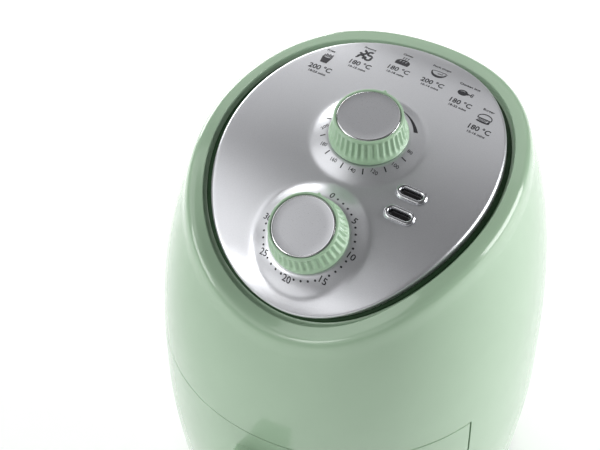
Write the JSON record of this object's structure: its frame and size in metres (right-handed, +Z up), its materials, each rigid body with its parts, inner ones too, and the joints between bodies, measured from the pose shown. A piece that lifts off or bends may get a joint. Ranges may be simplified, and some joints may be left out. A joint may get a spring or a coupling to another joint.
{
  "type": "air fryer",
  "caption": "Compact upright hot-air fryer with curved control panel, temperature and timer dials, indicator lights, pull-out pan drawer with handle and lift-out rack.",
  "frame": {"origin": "on the floor, under the middle of the whole fryer's bounding box", "axes": "+Z up; +X to the right as seen from the front; the drawer opens towards -Y"},
  "size_m": [0.2144, 0.2738, 0.2803],
  "materials": {
    "green_gloss": "high gloss, pale green",
    "green_knob": "gloss, pale green",
    "silver_panel": "satin silver paint",
    "satin_cap": "fine satin",
    "chrome_bezel": "satin chrome",
    "dark_lens": "smoked translucent",
    "grey_plastic": "matte",
    "black_plastic": "fine texture",
    "rubber": "matte",
    "non_stick": "non-stick coating, satin",
    "zinc_steel": "zinc plated",
    "heater_steel": "heat-tinted tube",
    "bright_steel": "bright",
    "brass": "turned",
    "copper": "copper"
  },
  "bodies": {
    "housing": {"outer_housing": "green_gloss", "control_panel": "silver_panel", "indicator_bezel_1": "chrome_bezel", "indicator_bezel_2": "chrome_bezel", "indicator_lens_1": "dark_lens", "indicator_lens_2": "dark_lens", "indicator_lamp_1": "dark_lens", "indicator_lamp_2": "dark_lens", "control_carrier": "grey_plastic", "rear_vent_grille": "grey_plastic", "front_bulkhead": "grey_plastic", "mid_deck": "grey_plastic", "base_cover": "black_plastic", "cord_gland": "black_plastic", "micro_switch": "black_plastic", "rubber_foot_1": "rubber", "rubber_foot_2": "rubber", "rubber_foot_3": "rubber", "rubber_foot_4": "rubber", "cooking_chamber": "zinc_steel", "heater_dome": "zinc_steel", "element_guard": "zinc_steel", "motor_stator": "zinc_steel", "motor_bridge_lower": "zinc_steel", "motor_bridge_upper": "zinc_steel", "thermostat_body": "zinc_steel", "timer_body": "zinc_steel", "base_screw_1": "zinc_steel", "base_screw_2": "zinc_steel", "base_screw_3": "zinc_steel", "base_screw_4": "zinc_steel", "heating_element": "heater_steel", "timer_bell": "bright_steel", "bearing_lower": "brass", "bearing_upper": "brass", "motor_winding": "copper", "thermostat_bulb": "copper"},
    "drawer": {"drawer_front": "green_gloss", "drawer_pan": "non_stick", "drawer_bracket": "grey_plastic", "handle_outer": "green_gloss", "handle_liner": "grey_plastic", "handle_screw_1": "zinc_steel", "handle_screw_2": "zinc_steel"},
    "rack": {"frying_rack": "non_stick", "rack_bumper_1": "rubber", "rack_bumper_2": "rubber", "rack_bumper_3": "rubber", "rack_bumper_4": "rubber"},
    "temp_knob": {"temp_knob_body": "green_knob", "temp_knob_cap": "satin_cap", "temp_knob_spindle": "brass"},
    "timer_knob": {"timer_knob_body": "green_knob", "timer_knob_cap": "satin_cap", "timer_knob_spindle": "brass"},
    "fan": {"motor_shaft": "bright_steel", "motor_rotor": "zinc_steel", "hot_air_fan": "zinc_steel", "cooling_fan": "black_plastic"},
    "plunger": {"switch_plunger": "rubber"}
  },
  "joints": [
    {"name": "drawer_slide", "type": "slide", "parent": "housing", "child": "drawer", "axis": [0, -1, 0], "range_m": [0, 0.18]},
    {"name": "rack_lift", "type": "slide", "parent": "drawer", "child": "rack", "axis": [0, 0, 1], "range_m": [0, 0.084]},
    {"name": "temp_knob_turn", "type": "hinge", "parent": "housing", "child": "temp_knob", "pos_m": [0, 0.0309, 0.26], "axis": [0, 0.0663, -0.9978], "range_deg": [0, 270]},
    {"name": "timer_knob_turn", "type": "hinge", "parent": "housing", "child": "timer_knob", "pos_m": [0, -0.03533, 0.24616], "axis": [0, 0.4128, -0.9108], "range_deg": [0, 270]},
    {"name": "fan_spin", "type": "hinge", "parent": "housing", "child": "fan", "pos_m": [0, 0.0181, 0.18], "axis": [0, 0, 1], "continuous": true},
    {"name": "switch_plunger_press", "type": "slide", "parent": "housing", "child": "plunger", "axis": [0, 1, 0], "range_m": [0, 0.0012], "stiffness_N_per_m": 400, "springref_m": -0.0015}
  ]
}
